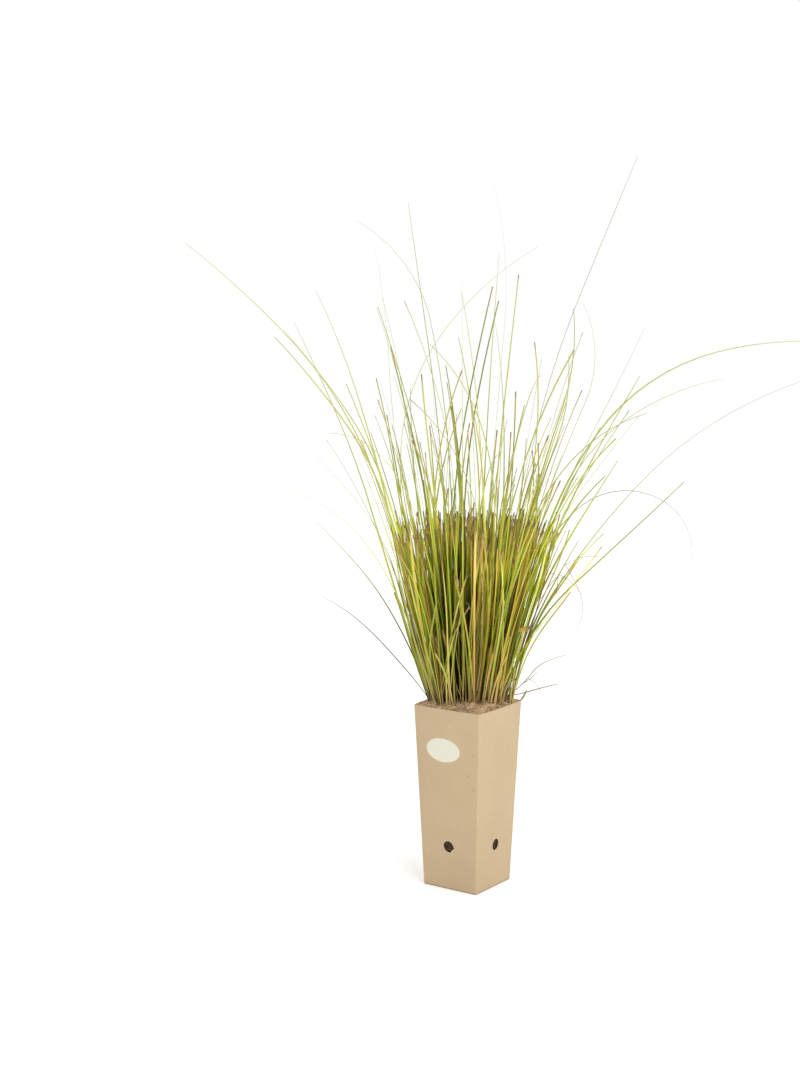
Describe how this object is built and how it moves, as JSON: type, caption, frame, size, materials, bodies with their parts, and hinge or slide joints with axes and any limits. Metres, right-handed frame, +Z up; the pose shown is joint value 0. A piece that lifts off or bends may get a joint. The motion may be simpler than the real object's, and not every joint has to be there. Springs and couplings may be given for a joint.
{
  "type": "potted sedge",
  "caption": "Tuft of sedge, trimmed to a level crown with long arching blades left uncut, in a tall square kraft-board pot with a bare oval label.",
  "frame": {"origin": "middle of the pot's base, on the surface that the pot stands on", "axes": "+Z up, -Y out of the labelled wall, +X out of the wall to its right"},
  "size_m": [0.5854, 0.5557, 0.7785],
  "materials": {
    "kraft_board": "matt",
    "label_paper": "smooth matt",
    "peat_soil": "crumbly matt",
    "coconut_fibre": "fibrous matt",
    "cut_sedge": "satin",
    "sedge_blade": "satin"
  },
  "bodies": {
    "root": {"pot": "kraft_board", "label": "label_paper", "soil": "peat_soil", "mulch": "coconut_fibre", "sheaf_01": "cut_sedge", "sheaf_02": "cut_sedge", "sheaf_03": "cut_sedge", "sheaf_04": "cut_sedge", "sheaf_05": "cut_sedge", "sheaf_06": "cut_sedge", "sheaf_07": "cut_sedge", "sheaf_08": "cut_sedge", "sheaf_09": "cut_sedge", "sheaf_10": "cut_sedge", "sheaf_11": "cut_sedge", "sheaf_12": "cut_sedge", "sheaf_13": "cut_sedge", "sheaf_14": "cut_sedge", "blade_tall": "sedge_blade", "blade_arch_high": "sedge_blade", "blade_arch_mid": "sedge_blade", "blade_arch_low": "sedge_blade", "blade_sprawl_right": "sedge_blade", "blade_short_right": "sedge_blade", "blade_curl": "sedge_blade", "blade_lean_right": "sedge_blade", "blade_slant_right": "sedge_blade", "blade_hook": "sedge_blade", "blade_bow_right": "sedge_blade", "blade_fan_right": "sedge_blade", "blade_spire": "sedge_blade", "blade_whip": "sedge_blade", "blade_dark_spear": "sedge_blade", "blade_dark_spear_low": "sedge_blade", "blade_back_sweep": "sedge_blade", "blade_back_reed": "sedge_blade", "blade_back_bend": "sedge_blade", "blade_drift_left": "sedge_blade", "blade_crossing": "sedge_blade", "blade_reach_left": "sedge_blade", "blade_sweep_left": "sedge_blade", "blade_rise_left": "sedge_blade", "blade_mid_left": "sedge_blade", "blade_arch_left": "sedge_blade", "blade_droop_left": "sedge_blade", "blade_low_left": "sedge_blade", "blade_back_arch": "sedge_blade", "blade_back_lean": "sedge_blade", "blade_back_tall": "sedge_blade", "blade_back_fall": "sedge_blade", "blade_back_slant": "sedge_blade", "blade_back_short": "sedge_blade", "blade_front_arch": "sedge_blade", "blade_front_lean": "sedge_blade", "blade_front_tall": "sedge_blade", "blade_front_side": "sedge_blade", "blade_front_short": "sedge_blade", "blade_front_fall": "sedge_blade"}
  },
  "joints": []
}
